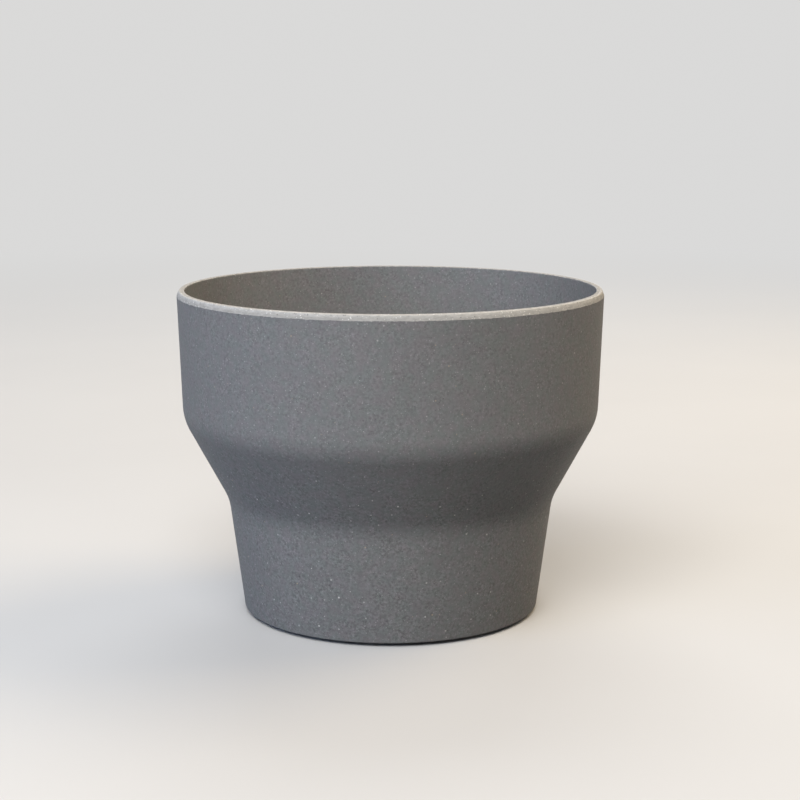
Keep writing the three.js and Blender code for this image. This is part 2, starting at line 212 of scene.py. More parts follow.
def prism(name, outline, bottom, top, at=(0, 0), turn=0.0):
    """A flat outline raised from one height to another, turned about Z and then moved."""
    spin = Matrix.Rotation(turn, 2)
    base = [spin @ Vector(p) + Vector(at) for p in outline]
    count = len(base)
    points = [(x, y, z) for z in (bottom, top) for x, y in base]
    faces = [list(range(count)), list(range(count, 2 * count))]
    faces += [[k, (k + 1) % count, (k + 1) % count + count, k + count] for k in range(count)]
    return mesh_object(name, points, faces)


def block(name, low, high, turn=0.0):
    """A box between two corners, turned about Z."""
    (x0, y0, z0), (x1, y1, z1) = low, high
    return prism(name, [(x0, y0), (x1, y0), (x1, y1), (x0, y1)], z0, z1, turn=turn)


def along_y(name, radius, start, end, x, z, edge=0):
    """A bar along Y, its axis at (x, z) and its end edges rounded."""
    corners = [(0, start), (radius, start, edge), (radius, end, edge), (0, end)]
    obj = turned(name, corners, BAR_TURN)
    lay = Matrix.Rotation(-math.pi / 2, 4, "X")
    obj.data.transform(Matrix.Translation(Vector((x, 0, z)) * MM) @ lay)
    return obj


def shift(obj, x, y):
    """Moves an object's mesh sideways by millimetres."""
    obj.data.transform(Matrix.Translation(Vector((x, y, 0)) * MM))
    return obj


def merged(objects):
    """Several separate meshes as one object."""
    first, *rest = objects
    work = bmesh.new()
    for obj in objects:
        work.from_mesh(obj.data)
    work.to_mesh(first.data)
    work.free()
    for obj in rest:
        bpy.data.objects.remove(obj)
    return first


def apply_modifiers(obj):
    """Makes the mesh what its modifiers show."""
    graph = bpy.context.evaluated_depsgraph_get()
    shown = bpy.data.meshes.new_from_object(obj.evaluated_get(graph))
    obj.modifiers.clear()
    obj.data = shown
    return obj


def combine(obj, tools, operation):
    """Joins solids to a solid ('UNION') or cuts them out of it ('DIFFERENCE')."""
    for tool in tools:
        step = obj.modifiers.new("solid", "BOOLEAN")
        step.operation = operation
        step.solver = "EXACT"
        step.object = tool
    apply_modifiers(obj)
    for tool in tools:
        bpy.data.objects.remove(tool)
    return obj


def soften(obj, width, segments=2):
    """Rounds every sharp edge by a width in millimetres."""
    clean(obj)
    bevel = obj.modifiers.new("edges", "BEVEL")
    bevel.width = width * MM
    bevel.segments = segments
    bevel.limit_method = "ANGLE"
    bevel.angle_limit = SHARP_EDGE
    return apply_modifiers(obj)


def clean(obj):
    """Merges the doubled points and dissolves the needless edges that booleans leave."""
    work = bmesh.new()
    work.from_mesh(obj.data)
    bmesh.ops.remove_doubles(work, verts=work.verts, dist=0.002 * MM)
    bmesh.ops.dissolve_limit(
        work, angle_limit=math.radians(0.2), verts=work.verts, edges=work.edges
    )
    work.to_mesh(obj.data)
    work.free()


def dress(obj, node, body, material, smooth=SMOOTH_EDGE):
    """Gives a finished piece its shading, material and body, and hides the CAD node it stands for."""
    obj.data.shade_smooth()
    obj.data.set_sharp_from_angle(angle=smooth)
    flatten = obj.modifiers.new("normals", "WEIGHTED_NORMAL")  # keeps large faces looking flat
    flatten.keep_sharp = True
    flatten.weight = 100
    apply_modifiers(obj)
    obj.data.materials.clear()
    obj.data.materials.append(material)
    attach(obj, body)
    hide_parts(node)
    return obj


# ------------------------------------------------------------------ material tools


class Paint:
    """One material, its node tree built a step at a time. Sizes are in millimetres."""

    def __init__(self, name):
        self.material = bpy.data.materials.new(name)
        self.material.use_nodes = True
        self.nodes = self.material.node_tree.nodes
        self.links = self.material.node_tree.links
        self.nodes.clear()
        self.surface = self.nodes.new("ShaderNodeBsdfPrincipled")
        output = self.nodes.new("ShaderNodeOutputMaterial")
        self.links.new(self.surface.outputs[0], output.inputs[0])
        self.place = self.nodes.new("ShaderNodeTexCoord").outputs["Object"]

    def put(self, socket, value):
        """Links a socket to a socket, or sets it to a plain value."""
        if isinstance(value, bpy.types.NodeSocket):
            self.links.new(value, socket)
        elif isinstance(value, (tuple, list)) and len(value) == 3 and len(socket.default_value) == 4:
            socket.default_value = (*value, 1)
        else:
            socket.default_value = value

    def position(self):
        """Height above the table and distance from the upright axis, in metres."""
        split = self.nodes.new("ShaderNodeSeparateXYZ")
        self.put(split.inputs[0], self.place)
        x, y, z = split.outputs
        squares = self.calc("ADD", self.calc("MULTIPLY", x, x), self.calc("MULTIPLY", y, y))
        return z, self.calc("POWER", squares, 0.5)

    def calc(self, operation, *values):
        made = self.nodes.new("ShaderNodeMath")
        made.operation = operation
        for socket, value in zip(made.inputs, values):
            self.put(socket, value)
        return made.outputs[0]

    def stretched(self, x=1.0, y=1.0, z=1.0):
        """The place on the piece, scaled along each axis."""
        made = self.nodes.new("ShaderNodeVectorMath")
        made.operation = "MULTIPLY"
        self.put(made.inputs[0], self.place)
        made.inputs[1].default_value = (x, y, z)
        return made.outputs[0]

    def noise(self, size, detail=2.0, rough=0.5, place=None):
        """Cloudy noise from 0 to 1 with features of about this size."""
        made = self.nodes.new("ShaderNodeTexNoise")
        self.put(made.inputs["Vector"], place or self.place)
        made.inputs["Scale"].default_value = 1 / (size * MM)
        made.inputs["Detail"].default_value = detail
        made.inputs["Roughness"].default_value = rough
        return made.outputs["Fac"]

    def cells(self, size, place=None):
        """Distance in millimetres to the nearest of many scattered points, and its random numbers."""
        made = self.nodes.new("ShaderNodeTexVoronoi")
        self.put(made.inputs["Vector"], place or self.place)
        made.inputs["Scale"].default_value = 1 / (size * MM)
        split = self.nodes.new("ShaderNodeSeparateColor")
        self.put(split.inputs[0], made.outputs["Color"])
        distance = self.calc("MULTIPLY", made.outputs["Distance"], size)
        return distance, split.outputs[0], split.outputs[1], split.outputs[2]

    def remap(self, value, low, high, to_low=0.0, to_high=1.0, kind="LINEAR"):
        made = self.nodes.new("ShaderNodeMapRange")
        made.interpolation_type = kind
        for socket, given in zip(made.inputs, (value, low, high, to_low, to_high)):
            self.put(socket, given)
        return made.outputs[0]

    def mix(self, factor, a, b):
        made = self.nodes.new("ShaderNodeMix")
        made.data_type = "RGBA"
        self.put(made.inputs[0], factor)
        self.put(made.inputs[6], a)
        self.put(made.inputs[7], b)
        return made.outputs[2]

    def scaled(self, colour, factor):
        """A colour made lighter or darker by a number."""
        made = self.nodes.new("ShaderNodeVectorMath")
        made.operation = "SCALE"
        self.put(made.inputs[0], colour)
        self.put(made.inputs["Scale"], factor)
        return made.outputs[0]

    def specks(self, size, radius, share, place=None):
        """A mask of scattered dots, in this share of the cells, and a random number for each dot."""
        distance, chance, bulk, tone = self.cells(size, place)
        own = self.remap(bulk, 0, 1, radius * 0.45, radius)
        dot = self.remap(self.calc("DIVIDE", distance, own), 0.55, 1.0, 1.0, 0.0, "SMOOTHSTEP")
        return self.calc("MULTIPLY", dot, self.calc("LESS_THAN", chance, share)), tone

    def bump(self, height, depth, over=None):
        """A normal from a height of 0 to 1 that stands for a depth in millimetres."""
        made = self.nodes.new("ShaderNodeBump")
        made.inputs["Distance"].default_value = depth * MM
        made.inputs["Strength"].default_value = 1.0
        self.put(made.inputs["Height"], height)
        if over is not None:
            self.put(made.inputs["Normal"], over)
        return made.outputs[0]

    def finish(self, **inputs):
        """Sets the surface's sockets, their names given with underscores for spaces."""
        for name, value in inputs.items():
            self.put(self.surface.inputs[name.replace("_", " ")], value)
        return self.material


def srgb(red, green, blue):
    """An 8-bit screen colour as the light it stands for."""
    return tuple(
        c / 12.92 if c <= 0.04045 else ((c + 0.055) / 1.055) ** 2.4
        for c in (red / 255, green / 255, blue / 255)
    )


# ------------------------------------------------------------------ materials


def composite():
    """Moulded plant-fibre composite: matt grey, finely grained, with pale and tan specks of fibre."""
    p = Paint("fibre_composite")
    z, radius = p.position()

    # The grain comes and goes in patches; below the shoulder it has more contrast, and the pale flecks
    # are whiter and show more, than on the wall.
    low = p.remap(z, GRAIN_STRONG_BELOW * MM, GRAIN_SOFT_ABOVE * MM, 1, 0, "SMOOTHSTEP")
    clouds = p.noise(26, 3, 0.55)
    grain = p.noise(1.0, 2, 0.7)
    contrast = p.remap(p.noise(5, 2), 0.35, 0.65, 0.5, 1.5)
    contrast = p.calc("MULTIPLY", contrast, p.remap(low, 0, 1, 0.85, 1.25))
    tone = p.calc("MULTIPLY_ADD", p.calc("SUBTRACT", grain, 0.5), contrast, 1.0)
    tone = p.calc("MULTIPLY", tone, p.remap(clouds, 0.3, 0.7, 0.97, 1.03))
    tint = p.mix(p.noise(9, 2), srgb(126, 126, 128), srgb(129, 128, 125))
    blush = p.mix(p.remap(p.noise(3.5, 2), 0.35, 0.65, 0, 1), srgb(131, 125, 127), srgb(124, 129, 126))
    body = p.scaled(p.mix(0.5, tint, blush), tone)

    dust, dust_tone = p.specks(0.8, 0.27, 0.55)
    flecks, fleck_tone = p.specks(2.4, 0.44, 0.36)
    pits, _ = p.specks(1.3, 0.3, 0.4, p.stretched(0.97, 1.03, 1.01))
    pale, tan, dark = srgb(204, 202, 197), srgb(178, 164, 143), srgb(76, 76, 78)
    body = p.mix(p.calc("MULTIPLY", pits, 0.55), body, dark)
    body = p.mix(p.calc("MULTIPLY", dust, p.remap(dust_tone, 0, 1, 0.05, 0.5)), body, pale)
    white = p.mix(low, pale, srgb(226, 224, 219))
    fleck = p.mix(p.calc("GREATER_THAN", fleck_tone, 0.8), white, tan)
    showing = p.calc("MULTIPLY", p.remap(fleck_tone, 0, 1, 0.25, 0.85), p.remap(low, 0, 1, 0.85, 1.5))
    body = p.mix(p.calc("MULTIPLY", flecks, showing), body, fleck)

    # The rim was sanded after moulding, which leaves it pale, a little rough and flecked with white.
    edge = p.remap(p.noise(1.6, 3, 0.6), 0.3, 0.7, -0.16, 0.16)
    height = p.calc("SUBTRACT", p.calc("MULTIPLY", z, 1 / MM), pot.high.z)
    outside = p.calc("GREATER_THAN", radius, (pot.high.x - SHELL_WALL / 2) * MM)
    start = p.remap(outside, 0, 1, -RIM_BEVEL / 2, -RIM_BAND)
    sanded = p.remap(
        p.calc("ADD", p.calc("SUBTRACT", height, start), edge), -0.05, 0.1, 0, 1, "SMOOTHSTEP"
    )
    scuffs = p.noise(0.8, 4, 0.7, p.stretched(0.35, 0.35, 1.0))
    crumbs, crumb_tone = p.specks(0.8, 0.34, 0.55)
    # The rim's flat top is painted a little darker than the band, as painted shade, and its outer edge
    # is painted palest, as a painted highlight.
    near_edge = p.remap(radius, (pot.high.x - 1.7) * MM, (pot.high.x - 0.9) * MM, 0, 1)
    edge_highlight = p.calc("MULTIPLY", near_edge, p.remap(height, -1.5, -0.4, 0, 1))
    rim_painted_light = p.calc("MULTIPLY_ADD", edge_highlight, 0.25, p.remap(height, -0.15, -0.02, 0.95, 0.86))
    # The scuffs are real wear; the painted highlight and the painted shade are multiplied in with
    # them.
    scuffs_and_painted_light = p.calc("MULTIPLY", p.remap(scuffs, 0.25, 0.75, 0.74, 1.2), rim_painted_light)
    bare = p.scaled(srgb(179, 176, 171), scuffs_and_painted_light)
    crumb = p.mix(p.calc("GREATER_THAN", crumb_tone, 0.35), srgb(138, 136, 133), srgb(238, 236, 231))
    bare = p.mix(p.calc("MULTIPLY", crumbs, 0.75), bare, crumb)
    colour = p.mix(sanded, body, bare)

    relief = p.calc("ADD", p.calc("MULTIPLY", grain, 0.6), p.calc("MULTIPLY", dust, 0.25))
    rough_relief = p.calc("ADD", scuffs, p.calc("MULTIPLY", crumbs, 0.5))
    normal = p.bump(relief, 0.13)
    normal = p.bump(p.calc("MULTIPLY", rough_relief, sanded), 0.12, normal)
    roughness = p.remap(clouds, 0.3, 0.7, 0.62, 0.7)
    return p.finish(
        Base_Color=colour,
        Roughness=p.calc("MAXIMUM", roughness, p.calc("MULTIPLY", sanded, 0.9)),
        Specular_IOR_Level=0.35,
        Normal=normal,
    )


def moulded(name, colour, roughness=0.45, texture=0.02):
    """Injection-moulded plastic with a fine spark-eroded texture and faint handling marks."""
    p = Paint(name)
    grain = p.noise(0.35, 2, 0.6)
    clouds = p.noise(14, 3)
    tone = p.remap(clouds, 0.3, 0.7, 0.93, 1.07)
    rubbed = p.noise(3.5, 4, 0.65, p.stretched(1, 1, 0.3))
    return p.finish(
        Base_Color=p.scaled(colour, tone),
        Roughness=p.remap(rubbed, 0.3, 0.7, roughness - 0.06, roughness + 0.08),
        Specular_IOR_Level=0.5,
        Normal=p.bump(grain, texture),
    )


def felt():
    """Bonded felt: off-white fibres pressed into a rod."""
    p = Paint("wick_felt")
    strands = p.noise(0.5, 5, 0.7, p.stretched(1.6, 1.6, 0.25))
    tufts = p.noise(2.2, 3, 0.6)
    colour = p.mix(strands, srgb(176, 168, 150), srgb(236, 230, 216))
    height = p.calc("ADD", strands, p.calc("MULTIPLY", tufts, 0.6))
    return p.finish(
        Base_Color=p.scaled(colour, p.remap(tufts, 0.3, 0.7, 0.9, 1.06)),
        Roughness=0.95,
        Sheen_Weight=0.25,
        Sheen_Roughness=0.5,
        Normal=p.bump(height, 0.22),
    )


def foam():
    """Closed-cell foam with a fine beaded skin."""
    p = Paint("float_foam")
    distance, first, _, _ = p.cells(0.9)
    # The beads are domed, and their edges are painted a little darker than their middles, as painted
    # shade in the gaps between them.
    bead = p.remap(distance, 0.0, 0.6, 1.0, 0.0)
    colour = p.mix(first, srgb(228, 226, 219), srgb(240, 238, 232))
    return p.finish(
        Base_Color=p.scaled(colour, p.remap(bead, 0, 1, 0.93, 1.02)),
        Roughness=0.8,
        Normal=p.bump(bead, 0.12),
    )


def rubber():
    """Matt black rubber with a dusting of bloom."""
    p = Paint("black_rubber")
    bloom = p.noise(4, 4, 0.6)
    grain = p.noise(0.4, 2)
    return p.finish(
        Base_Color=p.mix(p.remap(bloom, 0.45, 0.8, 0, 0.5), srgb(26, 26, 27), srgb(58, 58, 58)),
        Roughness=p.remap(bloom, 0.3, 0.7, 0.6, 0.8),
        Specular_IOR_Level=0.4,
        Normal=p.bump(grain, 0.03),
    )


def drawn_steel():
    """Stainless wire, with drawing lines along it."""
    p = Paint("pin_steel")
    lines = p.noise(0.25, 3, 0.6, p.stretched(1, 0.04, 1))
    return p.finish(
        Base_Color=p.scaled(srgb(196, 197, 198), p.remap(lines, 0.3, 0.7, 0.9, 1.05)),
        Metallic=1.0,
        Roughness=p.remap(lines, 0.3, 0.7, 0.22, 0.38),
        Normal=p.bump(lines, 0.01),
    )


COMPOSITE = composite()
INSERT = moulded("insert_plastic", srgb(44, 46, 48))
FELT = felt()
FOAM = foam()
STEM = moulded("stem_plastic", srgb(236, 234, 228), 0.3, 0.008)
FLAG = moulded("flag_plastic", srgb(186, 38, 28), 0.28, 0.008)
RUBBER = rubber()
STEEL = drawn_steel()


# ------------------------------------------------------------------ shell, feet and plug


INNER_FACE = offset_line(OUTER_FACE, SHELL_WALL)


def shell():
    under, rim = pot.low.z, pot.high.z
    foot, neck, shoulder, band = OUTER_FACE
    _, inner_neck, inner_shoulder, (inner_rim, _, _) = INNER_FACE
    corners = [
        (DRAIN_RADIUS, under + RECESS.depth, 0),
        (RECESS.radius - RECESS.depth, under + RECESS.depth, 0.4),
        (RECESS.radius, under, 0.4),
        (foot[0], under, 0.7),
        neck,
        shoulder,
        (*band[:2], 0.25),
        (pot.high.x - RIM_INSET, rim, 0.7),
        (inner_rim + 0.2, rim, 0.5),
        (inner_rim, rim - RIM_BEVEL, 0.3),
        inner_shoulder,
        inner_neck,
        (radius_at(INNER_FACE, FLOOR_TOP), FLOOR_TOP, 5),
        (DRAIN_RADIUS, FLOOR_TOP, 0.3),
    ]
    obj = turned("outer_pot_shell", corners, FINE_TURN, step=FINE_STEP)
    return dress(obj, "outer_pot", "pot", COMPOSITE)


def foot_pad(number):
    node = f"foot_pad_{number}"
    size = cad(node)
    radius = size.size.x / 2
    at = (size.mid.x, size.mid.y)
    low, high = size.low.z, size.high.z
    corners = [(0, low), (radius - 0.2, low, 0.3), (radius, high), (0, high)]
    obj = turned(f"rubber_pad_{number}", corners, at=at)
    return dress(obj, node, "pot", RUBBER)


PLUG = SimpleNamespace(tip=6.2, shank=6.5, head_thick=2.6)
PLUG_DISH = SimpleNamespace(radius=6.4, floor=5.8, depth=0.7)  # a shallow dish round the grip
PLUG_GRIP = SimpleNamespace(foot=3.2, neck=3.0, bulb=4.4, neck_down=5.4, bulb_down=3.2)


def drain_plug():
    size = cad("drain_plug")
    low, high, head_radius = size.low.z, size.high.z, size.high.x
    seat = FLOOR_TOP + GAP
    head = seat + PLUG.head_thick
    dish = head - PLUG_DISH.depth
    corners = [
        (0, low),
        (PLUG.tip, low, 0.5),
        (PLUG.shank, seat, 0.2),
        (head_radius, seat, 0.3),
        (head_radius, head, 1),
        (PLUG_DISH.radius, head, 0.8),
        (PLUG_DISH.floor, dish, 0.6),
        (PLUG_GRIP.foot, dish, 0.8),
        (PLUG_GRIP.neck, high - PLUG_GRIP.neck_down, 1.5),
        (PLUG_GRIP.bulb, high - PLUG_GRIP.bulb_down, 1.6),
        (PLUG_GRIP.foot, high, 1.2),
        (0, high),
    ]
    return dress(turned("drain_bung", corners), "drain_plug", "plug", RUBBER)


shell()
for pad_number in range(1, 5):
    foot_pad(pad_number)
drain_plug()


# ------------------------------------------------------------------ soil tray

TRAY_TOP = 50
TRAY_UNDER = 48
TRAY_TURN = 192  # facets round the tray
TRAY_RIB = SimpleNamespace(count=8, half=0.7, low=tray.low.z, reach=55)
LIP = SimpleNamespace(top=57, wall=1.8, seat_gap=0.35)
SLOT_RINGS = [(9, 20, 16, 0), (46, 56, 32, 0.52)]  # inner and outer end, count, angle kept clear
SLOT_WIDTH = 1.8
COLLAR = SimpleNamespace(wall=1.6, low=44)
BITE = 0.5  # how far the shapes of one moulding run into each other
SHAFT_PLACE = (shaft.mid.x, shaft.mid.y)
SHAFT_ANGLE = 1.5 * math.pi
SHAFT_SIZE = (32, 18)
SLEEVE_RADIUS = 7
WICK_PLACES = [tuple(cad(f"wick_sleeve_{n}").mid.xy) for n in (1, 2, 3)]
PAST = 1  # how far a cutting tool runs past the face it opens


def shaft_outline(grow=0.0):
    return stadium(*SHAFT_SIZE, grow)


def seat_radius(height):
    """The tray's outer radius at a height, clear of the shell's inner cone."""
    return radius_at(INNER_FACE[1:], height) - LIP.seat_gap


def tray_slots():
    """Two rings of slots, with those of the outer ring left out near the shaft."""
    slots = []
    for inner, outer, count, clear in SLOT_RINGS:
        outline = stadium(outer - inner, SLOT_WIDTH, steps=8)
        moved = [(x + (inner + outer) / 2, y) for x, y in outline]
        for k in range(count):
            angle = 2 * math.pi * (k + 0.5) / count
            if not clear or abs(angle - SHAFT_ANGLE) > clear:
                slots.append(prism("slot", moved, TRAY_UNDER - PAST, TRAY_TOP + PAST, turn=angle))
    return slots


def soil_tray():
    lip_inside = seat_radius(LIP.top) - LIP.wall
    corners = [
        (0, TRAY_UNDER),
        (seat_radius(TRAY_UNDER), TRAY_UNDER, 0.3),
        (seat_radius(LIP.top), LIP.top, 0.4),
        (lip_inside, LIP.top, 0.5),
        (seat_radius(TRAY_TOP) - LIP.wall, TRAY_TOP, 1.5),
        (0, TRAY_TOP),
    ]
    obj = turned("soil_tray_moulding", corners, TRAY_TURN)
    ribs = [
        block(
            "rib",
            (-TRAY_RIB.reach, -TRAY_RIB.half, TRAY_RIB.low),
            (TRAY_RIB.reach, TRAY_RIB.half, TRAY_UNDER + BITE),
            math.pi * (2 * k + 1) / TRAY_RIB.count,
        )
        for k in range(TRAY_RIB.count // 2)
    ]
    bore = SLEEVE_RADIUS + GAP
    outside = bore + COLLAR.wall
    collars = [disc("collar", outside, COLLAR.low, TRAY_TOP - BITE, at=p) for p in WICK_PLACES]
    sleeve_of_shaft = prism(
        "collar", shaft_outline(GAP + COLLAR.wall), COLLAR.low, tray.high.z, SHAFT_PLACE
    )
    combine(obj, [*ribs, *collars, sleeve_of_shaft], "UNION")
    low = TRAY_RIB.low - PAST
    holes = [disc("hole", bore, low, TRAY_TOP + PAST, at=p) for p in WICK_PLACES]
    shaft_hole = prism("hole", shaft_outline(GAP), low, tray.high.z + PAST, SHAFT_PLACE)
    combine(obj, [merged([*tray_slots(), *holes, shaft_hole])], "DIFFERENCE")
    soften(obj, 0.25)
    return dress(obj, "soil_tray", "insert", INSERT)


# ------------------------------------------------------------------ wicks

SLEEVE = SimpleNamespace(bore=5, drip=2, base=2, flange=9.5, flange_thick=1.5)
WINDOW = SimpleNamespace(half=1.6, low=12, high=40)


def wick_sleeve(number):
    node = f"wick_sleeve_{number}"
    size = cad(node)
    low, top = size.low.z, size.high.z
    floor_top, flange_low = low + SLEEVE.base, top - SLEEVE.flange_thick
    corners = [
        (SLEEVE.drip, low, 0.3),
        (SLEEVE_RADIUS, low, 0.5),
        (SLEEVE_RADIUS, flange_low, 0.2),
        (SLEEVE.flange, flange_low, 0.3),
        (SLEEVE.flange, top, 0.6),
        (SLEEVE.bore, top, 0.3),
        (SLEEVE.bore, floor_top, 0.4),
        (SLEEVE.drip, floor_top, 0.3),
    ]
    place = WICK_PLACES[number - 1]
    obj = turned(f"wick_basket_{number}", corners, at=place)
    outward = math.atan2(place[1], place[0])
    reach = SLEEVE_RADIUS + PAST
    near, far = (-reach, -WINDOW.half, WINDOW.low), (reach, WINDOW.half, WINDOW.high)
    windows = [
        shift(block("window", near, far, outward + turn), *place)
        for turn in (math.pi / 4, 3 * math.pi / 4)
    ]
    combine(obj, windows, "DIFFERENCE")
    soften(obj, 0.2)
    return dress(obj, node, f"wick_unit_{number}", INSERT)


FELT_ROW = 0.8  # height of the rows of points that the felt's unevenness moves


def wick(number):
    node = f"wick_{number}"
    size = cad(node)
    low, top, radius = size.low.z, size.high.z, size.size.x / 2
    rows = int((top - low) / FELT_ROW)
    side = [(radius, low + (top - low) * k / rows) for k in range(2, rows - 1)]
    ends = [radius * k / 5 for k in range(1, 5)]
    corners = [
        (0, low),
        *[(r, low) for r in ends],
        (radius, low, 0.6),
        *side,
        (radius, top, 0.9),
        *[(r, top) for r in reversed(ends)],
        (0, top),
    ]
    obj = turned(f"felt_wick_{number}", corners, at=(size.mid.x, size.mid.y))
    roughen(obj, depth=0.14, size=1.1)
    return dress(obj, node, f"wick_unit_{number}", FELT, smooth=FELT_EDGE)


def roughen(obj, depth, size):
    """Presses a mesh's points in along their normals by a noise, so that its surface is uneven."""
    for vertex in obj.data.vertices:
        wave = noise.noise(vertex.co / (size * MM))
        vertex.co -= vertex.normal * (wave + 1) / 2 * depth * MM


# ------------------------------------------------------------------ filler shaft

WALL = 1.5
PARTITION = 0.6  # half its thickness
STOP = SimpleNamespace(low=60.3, high=62.1, reach=2)  # the bead that rests on the tray's collar
INLET = SimpleNamespace(half=1.5, low=14, high=26, places=(-10, -5, 5, 10))
SKIRT = SimpleNamespace(top=9.7, wall=1.2)
FOOT_SLOT = SimpleNamespace(length=12, width=2, places=(-9.2, -4.6, 0, 4.6, 9.2))
FLOAT_PLACE = tuple(cad("float").mid.xy)


def shaft_cell(side, low, top):
    """The hollow on one side of the shaft's partition, as a cutting tool."""
    radius = SHAFT_SIZE[1] / 2 - WALL
    reach = SHAFT_SIZE[0] / 2 - WALL - radius
    outline = [(side * x, y) for x, y in half_round(reach, radius)]
    outline += [(side * PARTITION, radius), (side * PARTITION, -radius)]
    return prism("cell", outline, low, top, SHAFT_PLACE)


def filler_shaft():
    low, top = shaft.low.z, shaft.high.z
    obj = prism("filler_shaft_moulding", shaft_outline(), low, top, SHAFT_PLACE)
    stop = prism("stop", shaft_outline(STOP.reach), STOP.low, STOP.high, SHAFT_PLACE)
    combine(obj, [stop], "UNION")
    mouth = prism("mouth", shaft_outline(-WALL), low - PAST, SKIRT.top, SHAFT_PLACE)
    combine(obj, [mouth], "DIFFERENCE")
    cells = [shaft_cell(side, SKIRT.top - BITE, top + PAST) for side in (-1, 1)]
    combine(obj, [merged(cells)], "DIFFERENCE")
    width = SHAFT_SIZE[1]
    inlets = [
        block("inlet", (x - INLET.half, -width, INLET.low), (x + INLET.half, width, INLET.high))
        for x in INLET.places
    ]
    inlets = [shift(inlet, *SHAFT_PLACE) for inlet in inlets]
    combine(obj, [merged(inlets)], "DIFFERENCE")
    soften(obj, 0.25)
    return dress(obj, "filler_shaft", "shaft", INSERT)


def shaft_foot():
    size = cad("shaft_foot")
    low, flange_top, top = size.low.z, shaft.low.z - GAP, size.high.z
    obj = prism("shaft_foot_moulding", shaft_outline(), low, flange_top, SHAFT_PLACE)
    outside = -WALL - GAP
    skirt = prism("skirt", shaft_outline(outside), flange_top - BITE, top, SHAFT_PLACE)
    combine(obj, [skirt], "UNION")
    inside = shaft_outline(outside - SKIRT.wall)
    hollow = prism("hollow", inside, flange_top, top + PAST, SHAFT_PLACE)
    combine(obj, [hollow], "DIFFERENCE")
    slot = stadium(FOOT_SLOT.length, FOOT_SLOT.width, steps=8)
    across = math.pi / 2
    places = [(SHAFT_PLACE[0] + x, SHAFT_PLACE[1]) for x in FOOT_SLOT.places]
    slots = [prism("slot", slot, low - PAST, flange_top + PAST, at, across) for at in places]
    combine(obj, [merged(slots)], "DIFFERENCE")
    soften(obj, 0.2)
    return dress(obj, "shaft_foot", "shaft", INSERT)


# ------------------------------------------------------------------ cap, flap and pin

hinge = next(j for j in frame["joints"] if j["name"] == "flap_hinge")
PIN_X, PIN_Y, PIN_Z = (value / MM for value in hinge["pos_m"])
PIN_RADIUS = cad("flap_pin").size.x / 2
STEM_RADIUS = 1.2
GUIDE_GAP = 0.4  # round the stem where it passes the cap
PIN_REACH = 8  # how far the hole for the pin is cut to either side of the hinge's middle
KNUCKLE = SimpleNamespace(radius=1.9, half=4)
EAR = SimpleNamespace(radius=2.2, inner=4.5, outer=6.3)
CAP = SimpleNamespace(top=98, plate=2, wall=1.4)
BOSS = SimpleNamespace(low_radius=3.9, radius=3.4, height=1.1)  # round the stem
FLAP = SimpleNamespace(thick=1.6, right=14.6, corner=3, end_corner=6)
GRIP = SimpleNamespace(half=3.5, depth=1.4, height=1.1)


def pin_hole():
    start, end = PIN_Y - PIN_REACH, PIN_Y + PIN_REACH
    return along_y("hole", PIN_RADIUS + GAP, start, end, PIN_X, PIN_Z)


def hinge_ear(side):
    """One of the two ears that hold the pin, on the side of the flap's knuckle given by -1 or 1."""
    start, end = sorted((PIN_Y + side * EAR.inner, PIN_Y + side * EAR.outer))
    near = (PIN_X - EAR.radius, start, CAP.top - CAP.plate)
    lug = block("lug", near, (PIN_X + EAR.radius, end, PIN_Z))
    return combine(along_y("ear", EAR.radius, start, end, PIN_X, PIN_Z), [lug], "UNION")


def shaft_cap():
    low = cad("shaft_cap").low.z
    outline = shaft_outline(GAP + CAP.wall)
    obj = prism("shaft_cap_moulding", outline, low, CAP.top, SHAFT_PLACE)
    soften(obj, 0.7, 3)
    rooted, boss_top = CAP.top - BITE, CAP.top + BOSS.height
    profile = [(0, rooted), (BOSS.low_radius, rooted), (BOSS.radius, boss_top, 0.4), (0, boss_top)]
    boss = turned("boss", profile, at=FLOAT_PLACE)
    combine(obj, [boss, hinge_ear(-1), hinge_ear(1)], "UNION")
    plate_under = CAP.top - CAP.plate
    socket = prism("socket", shaft_outline(GAP), low - PAST, plate_under, SHAFT_PLACE)
    combine(obj, [socket], "DIFFERENCE")
    below, above = plate_under - PAST, boss_top + PAST
    guide = disc("guide", STEM_RADIUS + GUIDE_GAP, below, above, at=FLOAT_PLACE)
    combine(obj, [merged([guide, shaft_cell(1, below, above), pin_hole()])], "DIFFERENCE")
    soften(obj, 0.18)
    return dress(obj, "shaft_cap", "cap", INSERT)


def fill_flap():
    size = cad("fill_flap")
    low, left, middle, half = size.low.z, size.low.x, size.mid.y, size.size.y / 2
    top = low + FLAP.thick
    outline = rounded(
        [
            (left, middle - half, FLAP.corner),
            (FLAP.right, middle - half, FLAP.end_corner),
            (FLAP.right, middle + half, FLAP.end_corner),
            (left, middle + half, FLAP.corner),
        ]
    )
    obj = prism("fill_flap_moulding", outline, low, top)
    soften(obj, 0.4, 3)
    near = (FLAP.right - BITE, middle - KNUCKLE.half, low)
    arm = block("arm", near, (PIN_X, middle + KNUCKLE.half, top))
    start, end = PIN_Y - KNUCKLE.half, PIN_Y + KNUCKLE.half
    knuckle = along_y("knuckle", KNUCKLE.radius, start, end, PIN_X, PIN_Z)
    near = (left, middle - GRIP.half, top - BITE)
    grip = block("grip", near, (left + GRIP.depth, middle + GRIP.half, top + GRIP.height))
    combine(obj, [arm, knuckle, grip], "UNION")
    combine(obj, [pin_hole()], "DIFFERENCE")
    soften(obj, 0.15)
    return dress(obj, "fill_flap", "flap", INSERT)


def flap_pin():
    size = cad("flap_pin")
    obj = along_y("hinge_pin", PIN_RADIUS, size.low.y, size.high.y, PIN_X, PIN_Z, edge=0.35)
    return dress(obj, "flap_pin", "cap", STEEL)


# ------------------------------------------------------------------ float gauge


